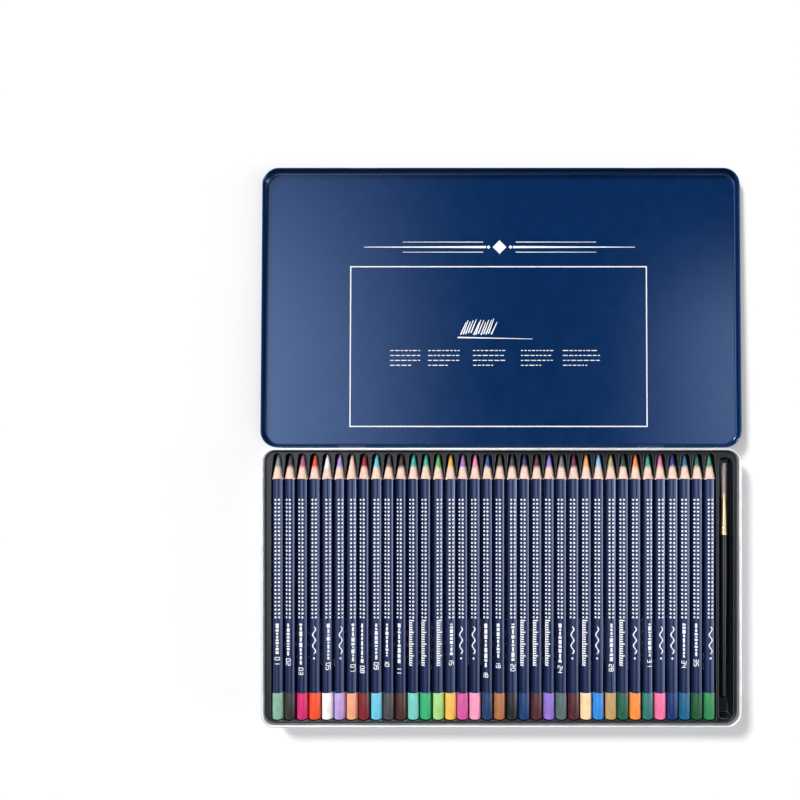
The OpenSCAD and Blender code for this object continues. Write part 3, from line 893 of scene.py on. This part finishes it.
def addDot(build, onSide, across, along):
    count = grip["corners"]
    loops = []
    for share, height in grip["profile"]:
        loops.append([build.verts.new(onSide(
            across + share * grip["radius"] * math.cos(2 * math.pi * j / count),
            along + share * grip["radius"] * math.sin(2 * math.pi * j / count), height))
            for j in range(count)])
    for near, far in zip(loops, loops[1:]):
        for j in range(count):
            k = (j + 1) % count
            build.faces.new((near[j], near[k], far[k], far[j]))
    build.faces.new(loops[-1])
    build.faces.new(reversed(loops[0]))


def addStroke(build, onSide, a, b, width):
    # A straight printed line between two points (across, along) of a side
    start, end = Vector(a), Vector(b)
    along = (end - start).normalized()
    beside = Vector((-along.y, along.x)) * width / 2
    pieces = max(1, math.ceil(abs(end.x - start.x) / marks["acrossPiece"]))
    points = [start.lerp(end, j / pieces) for j in range(pieces + 1)]
    addRibbon(build, [p + beside for p in points], [p - beside for p in points],
              -marks["inkSunk"], marks["inkHeight"], onSide)


def addLadder(build, onSide):
    # A ruler's ticks, long at every fifth, beside one long line
    start, wide = marks["start"], marks["ladderWide"]
    addStroke(build, onSide, (-wide, start), (-wide, start + marks["ladderLength"]), marks["spine"])
    for tick in range(int(marks["ladderLength"] / marks["ladderPitch"]) + 1):
        along = start + tick * marks["ladderPitch"]
        reach = wide if tick % marks["longEvery"] == 0 else marks["shortTick"] * wide
        addStroke(build, onSide, (-wide, along), (reach, along), marks["tick"])


def addWave(build, onSide):
    # A plain wavy ribbon with a dot at its end
    start, steps, half = marks["start"] + marks["waveAfter"], marks["waveSteps"], marks["waveHalf"]
    points = [(marks["waveReach"] * math.sin(2 * math.pi * marks["waveTurns"] * j / steps),
               start + marks["waveLength"] * j / steps) for j in range(steps + 1)]
    addRibbon(build, [(u - half, z) for u, z in points], [(u + half, z) for u, z in points],
              -marks["inkSunk"], marks["inkHeight"], onSide)
    addDot(build, onSide, 0, start + marks["waveLength"] + marks["waveDotAfter"])


def addNumber(build, onSide, number, start):
    # The pencil's plain number, reading from the tip towards the back end
    top, wide = marks["digitHigh"] / 2, marks["digitWide"]
    for place, digit in enumerate(f"{number:02d}"):
        left = start + place * (wide + marks["digitGap"])
        right = left + wide
        corners = {
            "a": ((top, left), (top, right)),
            "g": ((0, left), (0, right)),
            "d": ((-top, left), (-top, right)),
            "f": ((top, left), (0, left)),
            "b": ((top, right), (0, right)),
            "e": ((0, left), (-top, left)),
            "c": ((0, right), (-top, right)),
        }
        for strokeName in digitStrokes[digit]:
            addStroke(build, onSide, *corners[strokeName], marks["digitStroke"])


def addDashes(build, onSide, draw, number):
    # A row of short and long dashes, then the number
    along = marks["start"] + marks["dashAfter"]
    for _ in range(marks["dashCount"]):
        length = draw.uniform(*marks["dashLengths"])
        half = draw.choice(marks["dashHalves"])
        addStroke(build, onSide, (-half, along + length / 2), (half, along + length / 2), length)
        along += length + marks["dashGap"]
    addNumber(build, onSide, number, along + marks["numberAfter"])


def makePrint(index):
    draw = random.Random(marks["seed"] + index)
    name = f"pencil_{index + 1:02d}"
    build = bmesh.new()
    firstKind = draw.choice(marks["kinds"])
    plainSide = 2 if pencil["turns"][index] > grip["plainTurn"] else 1
    for side in range(3):
        onSide = sidePlace(index, side)
        for row in range(grip["rows"] if side != plainSide else 0):
            for across in grip["columns"]:
                addDot(build, onSide, across, grip["firstRow"] + row * grip["rowPitch"])
        kind = (side + firstKind) % 3
        if kind == 0:
            addLadder(build, onSide)
        elif kind == 1:
            addWave(build, onSide)
        else:
            addDashes(build, onSide, draw, index + 1)
    bmesh.ops.recalc_face_normals(build, faces=build.faces)
    makePiece(f"{name}_print", build, [pencilInk], name, sharpAngle=50)


for pencilIndex in range(pencil["count"]):
    makePencil(pencilIndex)
    makePrint(pencilIndex)
print("pencils are made")


# Printing on both faces of the lid, set out on the shut lid and turned back with it
lid = {
    "seed": 7,
    "hingeY": 92.5,
    "hingeZ": 10.0,
    "openAngle": 181.4395,
    "shutInside": 15.1,     # height of the plate's inner face when the lid is shut
    "shutOutside": 15.4,
    "inkHeight": 0.02,
    "inkSunk": 0.05,
    "frame": (-101.2, 105.6, 97.9, 213.6),      # left, near, right and far
    "frameLine": 0.75,
    "rule": (-92.0, 90.0, 226.5),               # left and right end, and its Y
}
rule = {
    "lineFrom": 9,          # mm from its middle
    "lineWidths": (1.5, 0.35),
    "sideFrom": 11,
    "sideShort": 26,        # the lines beside it end this much earlier
    "sideAway": 3.4,
    "sideWidths": (0.5, 0.3),
    "smallAt": 7.4,
    "smallHalf": 1.3,
    "largeHalf": 4.6,
}
hatching = {
    "corner": (-27.0, 168.0),
    "strokes": 13,
    "pitch": 1.7,
    "startScatter": ((-0.2, 0.2), (-0.8, 0.8)),
    "stroke": (3.6, 9.5),
    "endScatter": ((-0.4, 0.4), (-1.4, 1.0)),
    "widths": (0.9, 0.45),
    "underline": ((-2, -2.4), (48, -3.4)),
    "underlineWidths": (0.9, 0.3),
}
bars = {
    "top": 156.8,
    "lines": 4,
    "pitch": 3.3,
    "lastLine": 0.7,        # share of the width
    "blocks": ((-74.1, 20.0), (-48.8, 21.5), (-18.7, 21.5), (13.4, 21.5), (41.4, 24.7)),    # left, width
    "lengths": (1.2, 3.6),
    "gap": 0.9,
    "thick": 0.55,
}
panel = {
    "half": 99.5,
    "front": -76.0,
    "back": 29.8,
    "line": 0.75,
    "innerInset": 1.9,
    "innerLine": 0.45,
    "washInset": 2.6,
    "rule": (-70, 70, 50),
}


def foldBack(x, y, z):
    turn = math.radians(-lid["openAngle"])
    dy, dz = y - lid["hingeY"], z - lid["hingeZ"]
    return Vector((x, lid["hingeY"] + dy * math.cos(turn) - dz * math.sin(turn),
                   lid["hingeZ"] + dy * math.sin(turn) + dz * math.cos(turn))) * millimetre


def insidePlace(x, y, height):
    # x and y as they are seen with the lid open; height above the plate's inner face
    rise = lid["shutInside"] - lid["hingeZ"]
    turn = math.radians(lid["openAngle"])
    shutY = lid["hingeY"] - (y - lid["hingeY"] - rise * math.sin(turn)) / -math.cos(turn)
    return foldBack(x, shutY, lid["shutInside"] - height)


def outsidePlace(x, y, height):
    return foldBack(x, y, lid["shutOutside"] + height)


def addInk(build, place, edgeA, edgeB, closed=False):
    addRibbon(build, edgeA, edgeB, -lid["inkSunk"], lid["inkHeight"], place, closed)


def addLine(build, place, a, b, startWidth, endWidth):
    start, end = Vector(a), Vector(b)
    along = (end - start).normalized()
    beside = Vector((-along.y, along.x)) / 2
    addInk(build, place, [start + beside * startWidth, end + beside * endWidth],
           [start - beside * startWidth, end - beside * endWidth])


def addDiamond(build, place, x, y, half):
    addInk(build, place, [(x - half, y), (x, y + half)], [(x, y - half), (x + half, y)])


def frameCorners(left, near, right, far, inset):
    return [(left + inset, near + inset), (right - inset, near + inset),
            (right - inset, far - inset), (left + inset, far - inset)]


def addFrame(build, place, sides, inset, width):
    addInk(build, place, frameCorners(*sides, inset), frameCorners(*sides, inset + width), closed=True)


def addOrnamentRule(build, place, left, right, y):
    # A rule that swells towards a diamond in its middle, with a small diamond at either side
    middle = (left + right) / 2
    for side, end in ((-1, left), (1, right)):
        addLine(build, place, (middle + side * rule["lineFrom"], y), (end, y), *rule["lineWidths"])
        for away in (-rule["sideAway"], rule["sideAway"]):
            addLine(build, place, (middle + side * rule["sideFrom"], y + away),
                    (end - side * rule["sideShort"], y + away), *rule["sideWidths"])
        addDiamond(build, place, middle + side * rule["smallAt"], y, rule["smallHalf"])
    addDiamond(build, place, middle, y, rule["largeHalf"])


def addHatching(build, place, draw):
    # A few plain slanting strokes, as when a pencil is tried on paper
    corner = Vector(hatching["corner"])
    for stroke in range(hatching["strokes"]):
        start = corner + Vector((hatching["pitch"] * stroke, 0))
        start += Vector([draw.uniform(*span) for span in hatching["startScatter"]])
        end = start + Vector(hatching["stroke"])
        end += Vector([draw.uniform(*span) for span in hatching["endScatter"]])
        addLine(build, place, start, end, *hatching["widths"])
    left, right = [corner + Vector(shift) for shift in hatching["underline"]]
    addLine(build, place, left, right, *hatching["underlineWidths"])


def addTextBars(build, place, draw):
    # Short bars in place of small print
    shortest = bars["lengths"][0]
    for left, width in bars["blocks"]:
        for row in range(bars["lines"]):
            y = bars["top"] - row * bars["pitch"]
            x = left
            end = left + width * (1 if row < bars["lines"] - 1 else bars["lastLine"])
            while x < end - shortest:
                length = min(draw.uniform(*bars["lengths"]), end - x)
                addLine(build, place, (x, y), (x + length, y), bars["thick"], bars["thick"])
                x += length + bars["gap"]


def makeLidPrint():
    draw = random.Random(lid["seed"])
    inside = bmesh.new()
    addFrame(inside, insidePlace, lid["frame"], 0, lid["frameLine"])
    addOrnamentRule(inside, insidePlace, *lid["rule"])
    addHatching(inside, insidePlace, draw)
    addTextBars(inside, insidePlace, draw)
    bmesh.ops.recalc_face_normals(inside, faces=inside.faces)
    lidInk = whiteInk("whiteLidInk", lidInkLook)
    makePiece("lid_inside_print", inside, [lidInk], "lid")

    sides = (-panel["half"], panel["front"], panel["half"], panel["back"])
    outside = bmesh.new()
    addFrame(outside, outsidePlace, sides, 0, panel["line"])
    addFrame(outside, outsidePlace, sides, panel["innerInset"], panel["innerLine"])
    addOrnamentRule(outside, outsidePlace, *panel["rule"])
    nearLeft, nearRight, farRight, farLeft = frameCorners(*sides, panel["washInset"])
    addRibbon(outside, [nearLeft, nearRight], [farLeft, farRight],
              -lid["inkSunk"], lid["inkHeight"] / 2, outsidePlace, material=1)
    bmesh.ops.recalc_face_normals(outside, faces=outside.faces)
    makePiece("lid_outside_print", outside, [lidInk, watercolourWash()], "lid")


makeLidPrint()
print("lid is printed")


# Hair of the brush: tapered strands that swell a little past the ferrule and meet in a point.
# A hair is about 0.07 mm thick; the strands are drawn at 0.17 mm, so that they show.
hairLow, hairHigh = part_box("brush_hair")
hair = {
    "seed": 41,
    "strands": 90,
    "strandRadius": 0.085,
    "strandCorners": 4,
    "rings": 7,
    "uneven": 0.12,         # share of its length that an outer strand may lack
    "taper": 0.75,
    "taperPower": 3,
    "rootRadius": 0.5 * (hairHigh.x - hairLow.x) / millimetre,
    # Share of the length, share of the root's radius
    "belly": ((0, 0.95), (0.4, 0.97), (0.62, 0.9), (0.8, 0.68), (0.93, 0.34), (1, 0.06)),
}


def bellyAt(share):
    for (x0, y0), (x1, y1) in zip(hair["belly"], hair["belly"][1:]):
        if share <= x1:
            return y0 + (y1 - y0) * (share - x0) / (x1 - x0)
    return hair["belly"][-1][1]


def makeHair():
    draw = random.Random(hair["seed"])
    build = bmesh.new()
    centre = (hairLow + hairHigh) / 2
    length = hairHigh.y - hairLow.y
    goldenTurn = math.pi * (3 - math.sqrt(5))
    corners = [2 * math.pi * j / hair["strandCorners"] for j in range(hair["strandCorners"])]
    for strand in range(hair["strands"]):
        spread = math.sqrt((strand + 0.5) / hair["strands"])
        turn = strand * goldenTurn
        end = 1 - hair["uneven"] * spread * draw.random()
        rings = []
        for level in range(hair["rings"]):
            climb = level / (hair["rings"] - 1)
            share = end * climb
            reach = (hair["rootRadius"] - hair["strandRadius"]) * bellyAt(share) * spread * millimetre
            thick = hair["strandRadius"] * millimetre * (1 - hair["taper"] * climb ** hair["taperPower"])
            middle = Vector((centre.x + reach * math.cos(turn), hairLow.y + share * length,
                             centre.z + reach * math.sin(turn)))
            rings.append([middle + Vector((thick * math.cos(a), 0, thick * math.sin(a))) for a in corners])
        addSkin(build, rings, [0] * (len(rings) - 1))
    bmesh.ops.recalc_face_normals(build, faces=build.faces)
    makePiece("brush_hair_strands", build, [ponyHair()], "brush", sharpAngle=180,
              replaced="brush_hair")


makeHair()
print("brush is made")
